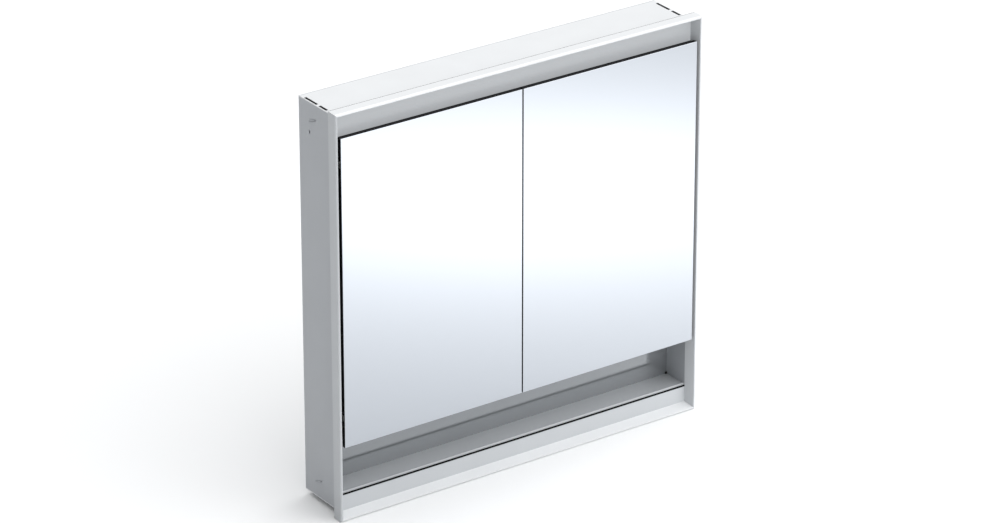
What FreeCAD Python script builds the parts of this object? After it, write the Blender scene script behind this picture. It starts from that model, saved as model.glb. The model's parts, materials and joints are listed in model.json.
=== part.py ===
"""Recessed medicine cabinet: two mirror doors over an open niche, with a light band above them.

Millimetres. X is to the right, Y is to the back and Z is up. X = 0 is the middle of the width,
Y = 0 is the middle of the depth and Z = 0 is the lower edge of the trim frame. Depths in the
functions are counted from the front of the trim frame, and plate() turns them into Y.
"""
import FreeCAD, Part
import math
import os

# Overall sizes
overall_width = 900.0
overall_height = 900.0
overall_depth = 150.0

# Trim frame and sheet body
nose_width = 5.0
nose_radius = 4.0
bevel_depth = 21.0
flange_depth = 25.6
frame_overlap = 12.0
sheet = 2.0
channel_width = 6.0
channel_depth = 11.6
channel_wall = 2.0
key_clearance = 0.15
key_leg = 42.0

# Lanced lugs, adjusting slots and roof slots of the body
lug_length = 24.0
lug_reach = 3.0
lug_thickness = 1.5
lug_slope = 21.0
lug_depth = 101.0
lug_inset = 49.0
lance_height = 1.2
side_slot_width = 4.0
side_slot_height = 8.0
side_slot_depth = 112.0
side_slot_inset = 77.5
side_slot_access_radius = 8.0
roof_slot_width = 6.0
roof_slot_front = 54.0
roof_slot_bridge = (82.0, 90.0)
roof_slot_back_gap = 16.0

# Wall fixing holes and cable inlet in the back panel
fixing_side_inset = 100.0
fixing_top_inset = 100.0
fixing_bottom_inset = 110.0
fixing_radius = 3.0
fixing_access_radius = 9.0
inlet_side_inset = 90.0
inlet_height = 24.0
inlet_bore_radius = 5.0
inlet_body_radius = 9.0
inlet_flange_radius = 12.5
inlet_flange_thickness = 1.6

# Niche under the doors
lip_top = 49.0
niche_floor_top = 54.0
niche_opening = 112.8
seal_projection = 1.0
seal_depth = 4.0
seal_lap = 1.0
niche_depth = 84.0
niche_ceiling_lift = 5.2
clip_size = 5.0
clip_reach = 2.0
niche_window_end_gap = 56.0
niche_window_front = 36.0
niche_window_width = 20.0
niche_diffuser_lap = 4.0
niche_diffuser_thickness = 3.0
led_strip_width = 8.0
led_strip_thickness = 2.0
switch_side_inset = 50.0
switch_radius = 9.0
switch_height = 2.5

# Cabinet above the niche
service_height = 12.0
back_lining_gap = 20.0
back_mirror_thickness = 4.0
back_mirror_top_gap = 76.0
mirror_side_gap = 1.0
partition_thickness = 12.0
partition_setback = 1.0
liner_thickness = 5.0
liner_front = 48.0

# Glass shelves and their pins
shelf_count = 3
shelf_thickness = 5.0
shelf_front = 40.0
shelf_side_gap = 1.5
shelf_back_gap = 2.0
pin_end_distance = 10.0
pin_step = 32.0
pin_hole_radius = 2.5
pin_stud_radius = 2.4
pin_stud_length = 4.0
pin_head_length = 8.0
pin_head_width = 10.0
pin_head_height = 5.0

# Light band above the doors
band_height = 48.0
diffuser_thickness = 3.0
reflector_depth = 60.0
led_board_height = 12.0
led_board_thickness = 1.6
led_board_inset = 16.0
driver_size = (160.0, 40.0, 28.0)
driver_side_inset = 200.0
driver_back_gap = 18.0
terminal_size = (60.0, 30.0, 24.0)
terminal_side_inset = 60.0
terminal_back_gap = 28.0

# Doors
door_side_gap = 7.5
door_centre_gap = 3.0
door_top_inset = 53.4
outer_mirror_thickness = 3.0
core_thickness = 7.0
inner_mirror_thickness = 3.0
core_rim = 14.0
core_hinge_rim = 38.0

# Hinges: a pin, a leaf with one knuckle on the body and a leaf with two knuckles on the door
hinge_end_distance = 61.0
hinge_inset = 6.0
hinge_axis_depth = 6.5
hinge_half_height = 20.0
frame_knuckle_half = 7.8
knuckle_gap = 0.2
knuckle_radius = 3.2
hinge_pin_radius = 1.5
hinge_running_clearance = 0.05
leaf_thickness = 2.0
frame_leaf_turn = 24.0
frame_leaf_end = 46.0
door_leaf_reach = 34.0
notch_reach = 10.5
notch_clearance = 0.3
screw_radius = 1.5
screw_clearance = 0.05
screw_head_radius = 3.0
screw_head_height = 1.3
frame_screw_depths = [32.0, 40.0]
frame_screw_bite = 1.5
door_screw_reach = 24.0
door_screw_offset = 12.0
door_screw_bite = 2.5

# Magnetic catches
catch_half_width = 13.0
catch_half_height = 12.0
catch_end_distance = 14.0
strike_thickness = 1.0
strike_gap = 0.4
strike_inner = 3.0
strike_width = 10.0
strike_half_height = 9.0
magnet_inner = 4.0
magnet_width = 8.0
magnet_depth = 4.0
magnet_half_height = 8.0

# Places worked out from the sizes above
half_width = overall_width / 2
reveal_width = frame_overlap + sheet
body_half = half_width - frame_overlap
inner_half = body_half - sheet
body_bottom = frame_overlap
body_top = overall_height - frame_overlap
inner_bottom = body_bottom + sheet
inner_top = body_top - sheet
back_panel_front = overall_depth - sheet
roof_slot_back = overall_depth - roof_slot_back_gap
roof_slot_spans = [(roof_slot_front, roof_slot_bridge[0]), (roof_slot_bridge[1], roof_slot_back)]

door_thickness = outer_mirror_thickness + core_thickness
door_outer_x = half_width - nose_width - door_side_gap
door_inner_x = door_centre_gap / 2
door_bottom = niche_floor_top + niche_opening
door_top = overall_height - door_top_inset

niche_ceiling_bottom = door_bottom + niche_ceiling_lift
niche_ceiling_top = niche_ceiling_bottom + sheet
niche_back_rear = niche_depth + sheet
cabinet_floor_bottom = niche_ceiling_top + service_height
cabinet_floor_top = cabinet_floor_bottom + sheet
cabinet_ceiling_top = inner_top - band_height
cabinet_ceiling_bottom = cabinet_ceiling_top - sheet
back_lining_depth = back_panel_front - back_lining_gap
back_mirror_front = back_lining_depth - back_mirror_thickness
partition_half = partition_thickness / 2
partition_front = bevel_depth + partition_setback
liner_face = inner_half - liner_thickness
fixing_x = half_width - fixing_side_inset
fixing_heights = [fixing_bottom_inset, overall_height - fixing_top_inset]
inlet_x = half_width - inlet_side_inset
niche_window_half = inner_half - niche_window_end_gap
shelf_pitch = (cabinet_ceiling_bottom - cabinet_floor_top) / (shelf_count + 1)
shelf_heights = [cabinet_floor_top + shelf_pitch * number for number in range(1, shelf_count + 1)]
pin_depths = [liner_front + pin_end_distance, back_mirror_front - pin_end_distance]

hinge_x = door_outer_x - hinge_inset
hinge_heights = [door_bottom + hinge_end_distance, door_top - hinge_end_distance]
hinge_bore_radius = hinge_pin_radius + hinge_running_clearance
door_leaf_back = hinge_axis_depth + knuckle_radius
door_leaf_front = door_leaf_back - leaf_thickness
screw_hole_radius = screw_radius + screw_clearance
catch_heights = [cabinet_floor_top + catch_end_distance, cabinet_ceiling_bottom - catch_end_distance]
catch_front = door_thickness + strike_thickness + strike_gap

SIDES = {"left": -1, "right": 1}
AXIS_X = FreeCAD.Vector(1, 0, 0)
AXIS_Y = FreeCAD.Vector(0, 1, 0)
AXIS_Z = FreeCAD.Vector(0, 0, 1)
ORIGIN = FreeCAD.Vector(0, 0, 0)


def point(x, depth, z):
    """Return the point that is depth behind the front of the trim frame."""
    return FreeCAD.Vector(x, depth - overall_depth / 2, z)


def plate(x_ends, depth_ends, z_ends):
    """Return a box between two places on each axis, given in either order."""
    low = point(min(x_ends), min(depth_ends), min(z_ends))
    high = point(max(x_ends), max(depth_ends), max(z_ends))
    return Part.makeBox(high.x - low.x, high.y - low.y, high.z - low.z, low)


def rod(radius, length, start, direction):
    """Return a round bar that runs from its start along a direction."""
    return Part.makeCylinder(radius, length, start, direction)


def joined(shapes):
    """Return one solid made of shapes that touch or overlap."""
    result = shapes[0]
    for shape in shapes[1:]:
        result = result.fuse(shape)
    return result.removeSplitter()


def group(shapes):
    """Return separate solids as one compound."""
    return Part.makeCompound(shapes)


def save(node, shape):
    """Write one node as a STEP file."""
    shape.exportStep("parts/" + node + ".step")


# Trim frame -----------------------------------------------------------------------------------

def frame_profile():
    """Return the section of the trim frame in Y and Z, with its outer edge at Z = 0.

    The nose is rounded at the front, and the inner face is a bevel that ends on the sheet body.
    """
    corner = nose_radius * (1 - math.sqrt(0.5))
    points = [
        point(0, flange_depth, 0),
        point(0, nose_radius, 0),
        point(0, corner, corner),
        point(0, 0, nose_radius),
        point(0, 0, nose_width),
        point(0, bevel_depth, reveal_width),
        point(0, bevel_depth, frame_overlap),
        point(0, flange_depth, frame_overlap),
    ]
    edges = [
        Part.LineSegment(points[0], points[1]).toShape(),
        Part.Arc(points[1], points[2], points[3]).toShape(),
    ]
    for start, end in zip(points[3:], points[4:] + points[:1]):
        edges.append(Part.LineSegment(start, end).toShape())
    return Part.Face(Part.Wire(edges))


def frame_bar(length):
    """Return a hollow bar along X with mitred ends, its outer edge at Z = 0 and its middle at X = 0."""
    bar = frame_profile().extrude(AXIS_X * length)
    bar.translate(AXIS_X * (-length / 2))
    channel_back = flange_depth - channel_wall
    channel_x = (-length / 2, length / 2)
    channel_z = (channel_wall, channel_wall + channel_width)
    bar = bar.cut(plate(channel_x, (channel_back - channel_depth, channel_back), channel_z))
    half = length / 2
    outline = [point(-half, 0, 0), point(half, 0, 0)]
    outline.append(point(half - reveal_width, 0, reveal_width))
    outline.append(point(-half + reveal_width, 0, reveal_width))
    mitre = Part.Face(Part.makePolygon(outline + outline[:1])).extrude(AXIS_Y * flange_depth)
    return bar.common(mitre)


def placed_bar(length, turn, x, z):
    """Return a mitred bar turned about Y and moved to its side of the opening."""
    bar = frame_bar(length)
    bar.rotate(ORIGIN, AXIS_Y, turn)
    bar.translate(FreeCAD.Vector(x, 0, z))
    return bar


def corner_key(side, top):
    """Return the angle key that fills the channels of two bars at one corner."""
    inset = channel_wall + key_clearance
    width = channel_width - 2 * key_clearance
    back = flange_depth - channel_wall - key_clearance
    front = back - channel_depth + 2 * key_clearance
    outer_x = side * (half_width - inset)
    inner_x = side * (half_width - inset - width)
    far_x = side * (half_width - inset - key_leg)
    upward = -1 if top else 1
    start = overall_height if top else 0
    outer_z = start + upward * inset
    inner_z = start + upward * (inset + width)
    far_z = start + upward * (inset + key_leg)
    upright = plate((outer_x, inner_x), (front, back), (outer_z, far_z))
    level = plate((outer_x, far_x), (front, back), (outer_z, inner_z))
    return joined([upright, level])


def build_frame():
    """Write the four mitred bars and their corner keys."""
    save("frame_bottom_rail", placed_bar(overall_width, 0, 0, 0))
    save("frame_top_rail", placed_bar(overall_width, 180, 0, overall_height))
    save("frame_stile_left", placed_bar(overall_height, 90, -half_width, overall_height / 2))
    save("frame_stile_right", placed_bar(overall_height, -90, half_width, overall_height / 2))
    save("frame_corner_keys", group([corner_key(side, top) for side in (-1, 1) for top in (False, True)]))


# Sheet body -----------------------------------------------------------------------------------

def sloped_strip(side, x_reach, height, z_middle, z_shift):
    """Return a strip through a side panel that rises towards the front."""
    strip = plate((side * inner_half, side * (body_half + x_reach)),
                  (lug_depth - lug_length / 2, lug_depth + lug_length / 2),
                  (z_middle + z_shift - height / 2, z_middle + z_shift + height / 2))
    strip.rotate(point(0, lug_depth, z_middle), AXIS_X, -lug_slope)
    return strip


def side_panel(side):
    """Return a side sheet with two lanced lugs, an adjusting slot and blind screw holes."""
    panel = plate((side * inner_half, side * body_half), (bevel_depth, back_panel_front),
                  (inner_bottom, inner_top))
    window_shift = (lug_thickness + lance_height) / 2
    for z in (lug_inset, overall_height - lug_inset):
        panel = panel.cut(sloped_strip(side, lug_reach, lance_height, z, -window_shift))
        panel = panel.fuse(sloped_strip(side, lug_reach, lug_thickness, z, 0))
    slot_z = overall_height - side_slot_inset
    panel = panel.cut(plate((side * (inner_half - 1), side * (body_half + 1)),
                            (side_slot_depth - side_slot_width / 2, side_slot_depth + side_slot_width / 2),
                            (slot_z - side_slot_height / 2, slot_z + side_slot_height / 2)))
    for z in hinge_heights:
        for depth in frame_screw_depths:
            start = point(side * inner_half, depth, z)
            panel = panel.cut(rod(screw_hole_radius, frame_screw_bite, start, AXIS_X * side))
    return panel.removeSplitter()


def roof_panel():
    """Return the roof sheet with its edge slots."""
    panel = plate((-body_half, body_half), (bevel_depth, back_panel_front), (inner_top, body_top))
    for side in (-1, 1):
        for span in roof_slot_spans:
            slot_x = (side * (inner_half - roof_slot_width), side * inner_half)
            panel = panel.cut(plate(slot_x, span, (inner_top - 1, body_top + 1)))
    return panel


def back_panel():
    """Return the back sheet with four wall fixing holes and the cable inlet."""
    panel = plate((-body_half, body_half), (back_panel_front, overall_depth), (body_bottom, body_top))
    for x in (-fixing_x, fixing_x):
        for z in fixing_heights:
            panel = panel.cut(rod(fixing_radius, sheet, point(x, back_panel_front, z), AXIS_Y))
    inlet = point(inlet_x, back_panel_front, cabinet_ceiling_top + inlet_height)
    return panel.cut(rod(inlet_body_radius, sheet, inlet, AXIS_Y))


def cable_grommet():
    """Return the rubber ring in the cable inlet, flush with the back."""
    z = cabinet_ceiling_top + inlet_height
    flange_front = back_panel_front - inlet_flange_thickness
    length = overall_depth - flange_front
    body = rod(inlet_body_radius, length, point(inlet_x, flange_front, z), AXIS_Y)
    flange = rod(inlet_flange_radius, inlet_flange_thickness, point(inlet_x, flange_front, z), AXIS_Y)
    bore = rod(inlet_bore_radius, length, point(inlet_x, flange_front, z), AXIS_Y)
    return joined([body, flange]).cut(bore)


def build_body():
    """Write the sheet body and the cable inlet."""
    for name, side in SIDES.items():
        save("side_panel_" + name, side_panel(side))
    save("roof_panel", roof_panel())
    save("base_panel", plate((-body_half, body_half), (bevel_depth, back_panel_front),
                             (body_bottom, inner_bottom)))
    save("back_panel", back_panel())
    save("cable_grommet", cable_grommet())


# Niche ----------------------------------------------------------------------------------------

def niche_ceiling():
    """Return the niche ceiling sheet with the light window."""
    panel = plate((-inner_half, inner_half), (bevel_depth, niche_depth),
                  (niche_ceiling_bottom, niche_ceiling_top))
    window = plate((-niche_window_half, niche_window_half),
                   (niche_window_front, niche_window_front + niche_window_width),
                   (niche_ceiling_bottom - 1, niche_ceiling_top + 1))
    return panel.cut(window)


def build_niche():
    """Write the open niche: lip, floor, back, ceiling, light and switch."""
    full = (-inner_half, inner_half)
    seal_front = bevel_depth - seal_projection
    seal_back = seal_front + seal_depth
    save("niche_front_lip", plate(full, (bevel_depth, bevel_depth + sheet), (inner_bottom, lip_top)))
    floor_bottom = niche_floor_top - sheet
    save("niche_floor_seal", plate(full, (seal_front, seal_back), (lip_top, floor_bottom)))
    save("niche_floor", plate(full, (seal_back - seal_lap, niche_depth), (floor_bottom, niche_floor_top)))
    save("niche_back_panel", plate(full, (niche_depth, niche_back_rear), (inner_bottom, niche_ceiling_top)))
    clips = []
    for side in (-1, 1):
        clips.append(plate((side * inner_half, side * (inner_half - clip_size)),
                           (niche_depth - clip_reach, niche_depth),
                           (niche_floor_top, niche_floor_top + clip_size)))
    save("niche_corner_clips", group(clips))
    save("niche_ceiling", niche_ceiling())
    diffuser_half = niche_window_half + niche_diffuser_lap
    diffuser_front = niche_window_front - niche_diffuser_lap
    diffuser_back = niche_window_front + niche_window_width + niche_diffuser_lap
    save("niche_light_diffuser", plate((-diffuser_half, diffuser_half), (diffuser_front, diffuser_back),
                                       (niche_ceiling_top, niche_ceiling_top + niche_diffuser_thickness)))
    strip_middle = niche_window_front + niche_window_width / 2
    strip_ends = (strip_middle - led_strip_width / 2, strip_middle + led_strip_width / 2)
    save("niche_led_strip", plate((-niche_window_half, niche_window_half), strip_ends,
                                  (cabinet_floor_bottom - led_strip_thickness, cabinet_floor_bottom)))
    switch_start = point(half_width - switch_side_inset, strip_middle, niche_ceiling_bottom - switch_height)
    save("touch_switch", rod(switch_radius, switch_height, switch_start, AXIS_Z))


# Cabinet --------------------------------------------------------------------------------------

def pin_holes(face_x, length, side):
    """Return the rows of shelf pin holes that start on an upright face and run along X."""
    holes = []
    for height in shelf_heights:
        for step in (-pin_step, 0, pin_step):
            for depth in pin_depths:
                z = height + step - pin_head_height / 2
                holes.append(rod(pin_hole_radius, length, point(face_x, depth, z), AXIS_X * side))
    return group(holes)


def shelf_pin(face_x, side, depth, height):
    """Return a pin that plugs into an upright face and points away from it, under a shelf."""
    z = height - pin_head_height / 2
    stud_start = point(face_x - side * pin_stud_length, depth, z)
    stud = rod(pin_stud_radius, pin_stud_length + 1, stud_start, AXIS_X * side)
    head = plate((face_x, face_x + side * pin_head_length),
                 (depth - pin_head_width / 2, depth + pin_head_width / 2),
                 (height - pin_head_height, height))
    return joined([stud, head])


def build_shelves():
    """Write the glass shelves and the pins under their four corners."""
    shelf_back = back_mirror_front - shelf_back_gap
    pins = []
    for name, side in SIDES.items():
        shelf_x = (side * (partition_half + shelf_side_gap), side * (liner_face - shelf_side_gap))
        for number, height in enumerate(shelf_heights, 1):
            shelf = plate(shelf_x, (shelf_front, shelf_back), (height, height + shelf_thickness))
            save("glass_shelf_" + name + "_" + str(number), shelf)
            for depth in pin_depths:
                pins.append(shelf_pin(side * partition_half, side, depth, height))
                pins.append(shelf_pin(side * liner_face, -side, depth, height))
    save("shelf_pins", group(pins))


def build_cabinet():
    """Write the closed cabinet behind the doors."""
    full = (-inner_half, inner_half)
    inside = (cabinet_floor_top, cabinet_ceiling_bottom)
    mirror_half = inner_half - mirror_side_gap
    save("cabinet_floor", plate(full, (bevel_depth, back_panel_front),
                                (cabinet_floor_bottom, cabinet_floor_top)))
    save("cabinet_floor_nosing", plate(full, (bevel_depth, bevel_depth + sheet),
                                       (niche_ceiling_top, cabinet_floor_bottom)))
    save("cabinet_ceiling", plate(full, (bevel_depth, back_panel_front),
                                  (cabinet_ceiling_bottom, cabinet_ceiling_top)))
    lining = plate(full, (back_lining_depth, back_lining_depth + sheet), inside)
    for x in (-fixing_x, fixing_x):
        access = point(x, back_lining_depth, fixing_heights[1])
        lining = lining.cut(rod(fixing_access_radius, sheet, access, AXIS_Y))
    save("cabinet_back_lining", lining)
    save("cabinet_back_mirror", plate((-mirror_half, mirror_half), (back_mirror_front, back_lining_depth),
                                      (cabinet_floor_top, cabinet_ceiling_bottom - back_mirror_top_gap)))
    partition = plate((-partition_half, partition_half), (partition_front, back_mirror_front), inside)
    save("centre_partition", partition.cut(pin_holes(-partition_half, partition_thickness, 1)))
    for name, side in SIDES.items():
        liner = plate((side * liner_face, side * inner_half), (liner_front, back_mirror_front), inside)
        access = point(side * liner_face, side_slot_depth, overall_height - side_slot_inset)
        liner = liner.cut(rod(side_slot_access_radius, liner_thickness, access, AXIS_X * side))
        save("side_liner_" + name, liner.cut(pin_holes(side * liner_face, liner_thickness, side)))


# Light band -----------------------------------------------------------------------------------

def build_light():
    """Write the light band and the electrical parts behind it."""
    full = (-inner_half, inner_half)
    band = (cabinet_ceiling_top, inner_top)
    save("light_diffuser", plate(full, (bevel_depth, bevel_depth + diffuser_thickness), band))
    save("light_reflector", plate(full, (reflector_depth, reflector_depth + sheet), band))
    board_half = inner_half - led_board_inset
    board_middle = cabinet_ceiling_top + band_height / 2
    board_ends = (board_middle - led_board_height / 2, board_middle + led_board_height / 2)
    board_depths = (reflector_depth - led_board_thickness, reflector_depth)
    save("led_board", plate((-board_half, board_half), board_depths, board_ends))
    length, width, height = driver_size
    end_x = driver_side_inset - half_width
    back = back_panel_front - driver_back_gap
    save("led_driver", plate((end_x, end_x + length), (back - width, back),
                             (cabinet_ceiling_top, cabinet_ceiling_top + height)))
    length, width, height = terminal_size
    end_x = half_width - terminal_side_inset
    back = back_panel_front - terminal_back_gap
    save("terminal_box", plate((end_x - length, end_x), (back - width, back),
                               (cabinet_ceiling_top, cabinet_ceiling_top + height)))


# Doors ----------------------------------------------------------------------------------------

def door_core(side):
    """Return the black core of a door, with the mirror pocket, hinge notches and screw holes."""
    core = plate((side * door_inner_x, side * door_outer_x), (outer_mirror_thickness, door_thickness),
                 (door_bottom, door_top))
    pocket_front = door_thickness - inner_mirror_thickness
    core = core.cut(plate(inner_mirror_x(side), (pocket_front, door_thickness + 1),
                          (door_bottom + core_rim, door_top - core_rim)))
    notch_x = (side * (door_outer_x + 1), side * (door_outer_x - notch_reach))
    leaf_x = (side * (door_outer_x - notch_reach), side * (door_outer_x - door_leaf_reach - notch_clearance))
    for z in hinge_heights:
        notch_z = (z - hinge_half_height - notch_clearance, z + hinge_half_height + notch_clearance)
        core = core.cut(plate(notch_x, (outer_mirror_thickness, door_thickness + 1), notch_z))
        core = core.cut(plate(leaf_x, (door_leaf_front, door_thickness + 1), notch_z))
        for offset in (-door_screw_offset, door_screw_offset):
            hole_x = side * (door_outer_x - door_screw_reach)
            start = point(hole_x, door_leaf_front - door_screw_bite, z + offset)
            core = core.cut(rod(screw_hole_radius, door_screw_bite + 1, start, AXIS_Y))
    return core


def inner_mirror_x(side):
    """Return where the mirror on the inside of a door starts and ends along X."""
    return (side * (door_inner_x + core_rim), side * (door_outer_x - core_hinge_rim))


def door_leaf(side, z):
    """Return the door's hinge leaf with its two knuckles."""
    axis_x = side * hinge_x
    leaf = plate((axis_x, side * (door_outer_x - door_leaf_reach)), (door_leaf_front, door_leaf_back),
                 (z - hinge_half_height, z + hinge_half_height))
    middle_half = frame_knuckle_half + knuckle_gap
    leaf = leaf.cut(plate((side * (hinge_x + 1), side * (door_outer_x - notch_reach)),
                          (door_leaf_front, door_leaf_back), (z - middle_half, z + middle_half)))
    knuckle_length = hinge_half_height - middle_half
    for start_z in (z - hinge_half_height, z + middle_half):
        start = point(axis_x, hinge_axis_depth, start_z)
        leaf = leaf.fuse(rod(knuckle_radius, knuckle_length, start, AXIS_Z))
    bore_start = point(axis_x, hinge_axis_depth, z - hinge_half_height)
    leaf = leaf.cut(rod(hinge_bore_radius, 2 * hinge_half_height, bore_start, AXIS_Z))
    for offset in (-door_screw_offset, door_screw_offset):
        start = point(side * (door_outer_x - door_screw_reach), door_leaf_front, z + offset)
        leaf = leaf.cut(rod(screw_hole_radius, leaf_thickness, start, AXIS_Y))
    return leaf.removeSplitter()


def door_screw(side, z):
    """Return a screw that holds the door's hinge leaf on the core."""
    x = side * (door_outer_x - door_screw_reach)
    shank_front = door_leaf_front - door_screw_bite
    shank = rod(screw_radius, leaf_thickness + door_screw_bite, point(x, shank_front, z), AXIS_Y)
    head = rod(screw_head_radius, screw_head_height, point(x, door_leaf_back, z), AXIS_Y)
    return joined([shank, head])


def build_door(name, side):
    """Write one mirror door with its hinge leaves, screws and strike plates."""
    door_x = (side * door_inner_x, side * door_outer_x)
    door_z = (door_bottom, door_top)
    save("door_" + name + "_outer_mirror", plate(door_x, (0, outer_mirror_thickness), door_z))
    save("door_" + name + "_core", door_core(side))
    save("door_" + name + "_inner_mirror",
         plate(inner_mirror_x(side), (door_thickness - inner_mirror_thickness, door_thickness),
               (door_bottom + core_rim, door_top - core_rim)))
    save("door_" + name + "_hinge_leaves", group([door_leaf(side, z) for z in hinge_heights]))
    offsets = (-door_screw_offset, door_screw_offset)
    screws = [door_screw(side, z + offset) for z in hinge_heights for offset in offsets]
    save("door_" + name + "_leaf_screws", group(screws))
    strikes = []
    for z in catch_heights:
        strikes.append(plate((side * strike_inner, side * (strike_inner + strike_width)),
                             (door_thickness, door_thickness + strike_thickness),
                             (z - strike_half_height, z + strike_half_height)))
    save("door_" + name + "_strike_plates", group(strikes))


# Hinge parts on the body and catches ----------------------------------------------------------

def frame_leaf(side, z):
    """Return the body's hinge leaf: knuckle, straight neck, offset and fixing leg."""
    axis_x = side * hinge_x
    neck_x = (side * (hinge_x - leaf_thickness / 2), side * (hinge_x + leaf_thickness / 2))
    span = (z - frame_knuckle_half, z + frame_knuckle_half)
    turn_end = frame_leaf_turn + leaf_thickness
    knuckle = rod(knuckle_radius, 2 * frame_knuckle_half, point(axis_x, hinge_axis_depth, span[0]), AXIS_Z)
    neck = plate(neck_x, (hinge_axis_depth, turn_end), span)
    offset = plate((neck_x[0], side * inner_half), (frame_leaf_turn, turn_end), span)
    leg_x = (side * (inner_half - leaf_thickness), side * inner_half)
    leg = plate(leg_x, (frame_leaf_turn, frame_leaf_end), span)
    leaf = joined([knuckle, neck, offset, leg])
    bore_start = point(axis_x, hinge_axis_depth, span[0])
    leaf = leaf.cut(rod(hinge_bore_radius, 2 * frame_knuckle_half, bore_start, AXIS_Z))
    for depth in frame_screw_depths:
        start = point(side * (inner_half - leaf_thickness), depth, z)
        leaf = leaf.cut(rod(screw_hole_radius, leaf_thickness, start, AXIS_X * side))
    return leaf


def frame_screw(side, depth, z):
    """Return a screw that holds the body's hinge leaf on the side panel."""
    face_x = side * (inner_half - leaf_thickness)
    shank = rod(screw_radius, leaf_thickness + frame_screw_bite, point(face_x, depth, z), AXIS_X * side)
    head_start = point(face_x - side * screw_head_height, depth, z)
    head = rod(screw_head_radius, screw_head_height, head_start, AXIS_X * side)
    return joined([shank, head])


def build_hinges():
    """Write the body's hinge leaves, the hinge pins and the screws."""
    pins = []
    screws = []
    for name, side in SIDES.items():
        save("hinge_body_leaves_" + name, group([frame_leaf(side, z) for z in hinge_heights]))
        for z in hinge_heights:
            start = point(side * hinge_x, hinge_axis_depth, z - hinge_half_height)
            pins.append(rod(hinge_pin_radius, 2 * hinge_half_height, start, AXIS_Z))
            screws += [frame_screw(side, depth, z) for depth in frame_screw_depths]
    save("hinge_pins", group(pins))
    save("hinge_body_screws", group(screws))


def build_catches():
    """Write the catch housings on the partition and the magnets in them."""
    housings = []
    magnets = []
    for z in catch_heights:
        housing = plate((-catch_half_width, catch_half_width), (catch_front, partition_front),
                        (z - catch_half_height, z + catch_half_height))
        for side in (-1, 1):
            magnet = plate((side * magnet_inner, side * (magnet_inner + magnet_width)),
                           (catch_front, catch_front + magnet_depth),
                           (z - magnet_half_height, z + magnet_half_height))
            housing = housing.cut(magnet)
            magnets.append(magnet)
        housings.append(housing)
    save("catch_housings", group(housings))
    save("catch_magnets", group(magnets))


os.makedirs("parts", exist_ok=True)
build_frame()
build_body()
build_niche()
build_shelves()
build_cabinet()
build_light()
for door_name, door_side in SIDES.items():
    build_door(door_name, door_side)
build_hinges()
build_catches()
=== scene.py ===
import json
import logging
import math
from collections.abc import Callable
from dataclasses import dataclass
from enum import Enum

import bmesh
import bpy
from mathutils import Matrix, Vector

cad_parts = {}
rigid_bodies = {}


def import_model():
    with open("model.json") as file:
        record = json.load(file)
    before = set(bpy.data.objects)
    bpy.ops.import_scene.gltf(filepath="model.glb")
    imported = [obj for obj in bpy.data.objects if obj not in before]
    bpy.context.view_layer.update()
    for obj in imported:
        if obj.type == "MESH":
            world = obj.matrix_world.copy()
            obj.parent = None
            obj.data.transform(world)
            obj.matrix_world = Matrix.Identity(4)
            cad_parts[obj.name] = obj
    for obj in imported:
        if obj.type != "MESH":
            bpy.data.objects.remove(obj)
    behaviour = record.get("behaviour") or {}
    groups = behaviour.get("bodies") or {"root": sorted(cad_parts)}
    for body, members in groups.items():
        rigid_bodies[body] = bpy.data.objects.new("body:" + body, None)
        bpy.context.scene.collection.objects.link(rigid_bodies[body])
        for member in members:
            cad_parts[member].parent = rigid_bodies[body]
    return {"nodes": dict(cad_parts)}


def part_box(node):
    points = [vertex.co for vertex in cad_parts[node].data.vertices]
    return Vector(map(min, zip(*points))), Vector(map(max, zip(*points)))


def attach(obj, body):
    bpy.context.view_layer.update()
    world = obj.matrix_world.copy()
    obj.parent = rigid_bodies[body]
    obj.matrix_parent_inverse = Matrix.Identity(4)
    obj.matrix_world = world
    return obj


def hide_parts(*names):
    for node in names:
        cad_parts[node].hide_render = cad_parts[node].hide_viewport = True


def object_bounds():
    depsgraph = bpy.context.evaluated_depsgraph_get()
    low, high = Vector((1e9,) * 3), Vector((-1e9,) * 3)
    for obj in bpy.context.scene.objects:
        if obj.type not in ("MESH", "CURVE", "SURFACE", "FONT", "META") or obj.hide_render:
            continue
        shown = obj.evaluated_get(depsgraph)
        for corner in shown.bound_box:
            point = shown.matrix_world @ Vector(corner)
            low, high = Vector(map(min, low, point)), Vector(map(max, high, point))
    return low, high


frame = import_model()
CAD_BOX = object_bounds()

logging.basicConfig(level=logging.INFO, format="%(message)s")
LOG = logging.getLogger("cabinet")

MM = 0.001
FRONT_Y = CAD_BOX[0].y
CAD_NODES = frame["nodes"]
# Edges flatter than this are shaded smooth.
SMOOTH_BELOW = math.radians(40.0)
# Height of the finest marks, as a share of their spacing, and where the faint patches begin and end.
GRAIN_SHARE = 0.1
CLOUD_EDGES = (0.3, 0.7)
# The studio's floor lies this far under the cabinet.
FLOOR_DROP = 0.5 * MM
# Cosines that tell how well a face or an edge agrees with a direction.
SAME_WAY = 0.99
NEAR_WAY = 0.9
SILVERED_WAY = 0.6
HALF_WAY = 0.5


class Body(Enum):
    """The rigid bodies that pieces ride on."""

    CABINET = "cabinet"
    LEFT_DOOR = "door_left"
    RIGHT_DOOR = "door_right"


class Side(Enum):
    """The two sides of the cabinet, with the sign that X has there."""

    LEFT = -1
    RIGHT = 1

    @property
    def word(self) -> str:
        """The side's name in small letters, as node names have it."""
        return self.name.lower()

    @property
    def door(self) -> Body:
        """The door on this side."""
        return Body.LEFT_DOOR if self is Side.LEFT else Body.RIGHT_DOOR


class Along(Enum):
    """The direction in which the marks of rolling, drawing or brushing run."""

    X = (0.02, 1.0, 1.0)
    Z = (1.0, 1.0, 0.02)
    NONE = (1.0, 1.0, 1.0)


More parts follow.
